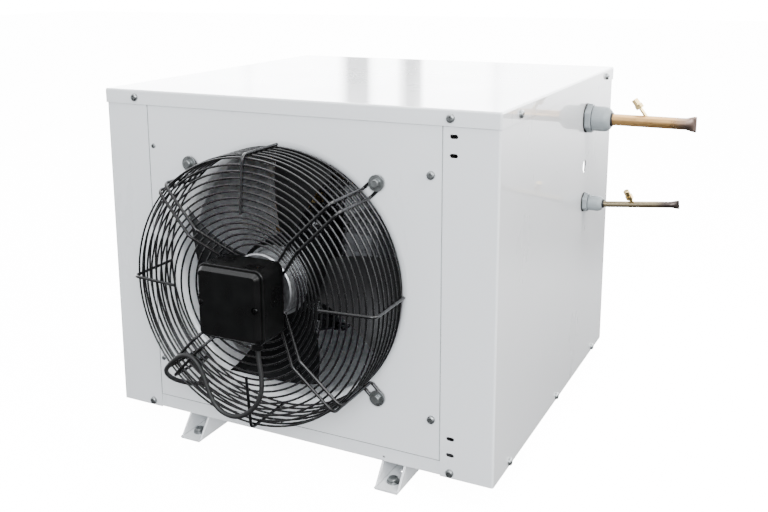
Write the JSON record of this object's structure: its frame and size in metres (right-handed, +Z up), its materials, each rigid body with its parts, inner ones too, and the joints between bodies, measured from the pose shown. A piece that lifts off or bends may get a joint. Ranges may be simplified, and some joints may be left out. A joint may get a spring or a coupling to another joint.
{
  "type": "refrigeration condensing unit",
  "caption": "Air-cooled condensing unit: folded sheet-steel housing on rails, axial fan behind a wire guard, compressor, coil and copper pipe stubs.",
  "frame": {"origin": "centre of the four anchor holes in the rails' floor plates, on the floor plane", "axes": "+Z up; -Y is the fan side (front) and +Y the condenser's air inlet; +X is the side with the pipe connections"},
  "size_m": [0.7809, 0.742, 0.522],
  "materials": {
    "painted_housing": "off-white powder coat, satin, fine orange peel",
    "zinc_screw": "zinc plated, dull",
    "guard_wire": "black plastic-coated wire",
    "fin_aluminium": "mill finish fin stock",
    "galvanised_sheet": "galvanised sheet",
    "copper_tube": "drawn copper, handled",
    "aged_copper": "copper tube darkened by brazing flux",
    "black_enamel": "black gloss enamel",
    "black_rubber": "matt black rubber or PVC",
    "brass": "turned brass",
    "drier_paint": "baked enamel",
    "sight_glass": "clear glass",
    "gland_plastic": "grey nylon",
    "motor_casting": "black powder coat on aluminium casting",
    "bearing_steel": "ground steel",
    "impeller_plastic": "black glass-filled plastic",
    "box_plastic": "black moulded plastic",
    "contactor_plastic": "dark grey moulded plastic",
    "capacitor_can": "drawn aluminium can",
    "switch_paint": "grey enamel"
  },
  "bodies": {
    "unit": {"base_pan": "painted_housing", "rail_left": "painted_housing", "rail_right": "painted_housing", "left_panel": "painted_housing", "right_panel": "painted_housing", "fan_panel": "painted_housing", "rear_panel": "painted_housing", "top_lid": "painted_housing", "foot_bolts": "zinc_screw", "housing_screws": "zinc_screw", "floor_bolts": "zinc_screw", "guard_bolts": "zinc_screw", "motor_screws": "zinc_screw", "terminal_screws": "zinc_screw", "fan_guard_rings": "guard_wire", "fan_guard_spokes": "guard_wire", "fan_guard_arms": "guard_wire", "coil_guard": "guard_wire", "condenser_fins": "fin_aluminium", "condenser_end_plates": "galvanised_sheet", "electrical_plate": "galvanised_sheet", "capacitor_clamp": "galvanised_sheet", "condenser_tubes": "copper_tube", "discharge_line": "copper_tube", "condensate_line": "copper_tube", "suction_line": "copper_tube", "liquid_line": "aged_copper", "compressor_shell": "black_enamel", "compressor_feet": "black_enamel", "receiver": "black_enamel", "compressor_grommets": "black_rubber", "gland_seals": "black_rubber", "cable_grommet": "black_rubber", "fan_cable": "black_rubber", "receiver_valve": "brass", "sight_glass_body": "brass", "service_valves": "brass", "service_valve_caps": "brass", "filter_drier": "drier_paint", "sight_glass_window": "sight_glass", "suction_gland_body": "gland_plastic", "suction_gland_nut": "gland_plastic", "liquid_gland_body": "gland_plastic", "liquid_gland_nut": "gland_plastic", "gland_locknuts": "gland_plastic", "motor_stator": "motor_casting", "motor_bearings": "bearing_steel", "terminal_box": "box_plastic", "terminal_box_cover": "box_plastic", "terminal_box_fixings": "box_plastic", "compressor_terminal_cover": "box_plastic", "contactor": "contactor_plastic", "terminal_strip": "contactor_plastic", "capacitor": "capacitor_can", "pressure_switch": "switch_paint"},
    "fan": {"motor_shaft": "bearing_steel", "motor_rotor": "motor_casting", "fan_impeller": "impeller_plastic"},
    "armature": {"contactor_armature": "contactor_plastic"},
    "valve_stem": {"receiver_valve_stem": "brass"}
  },
  "joints": [
    {"name": "fan_spin", "type": "hinge", "parent": "unit", "child": "fan", "pos_m": [-0.0075, -0.2925, 0.2725], "axis": [0, 1, 0], "continuous": true},
    {"name": "contactor_travel", "type": "slide", "parent": "unit", "child": "armature", "axis": [0, 1, 0], "range_m": [0, 0.004], "stiffness_N_per_m": 400, "springref_m": -0.002},
    {"name": "receiver_valve_turn", "type": "hinge", "parent": "unit", "child": "valve_stem", "pos_m": [-0.19, 0.1225, 0.33], "axis": [0, 0, 1], "range_deg": [-1800, 0]}
  ]
}
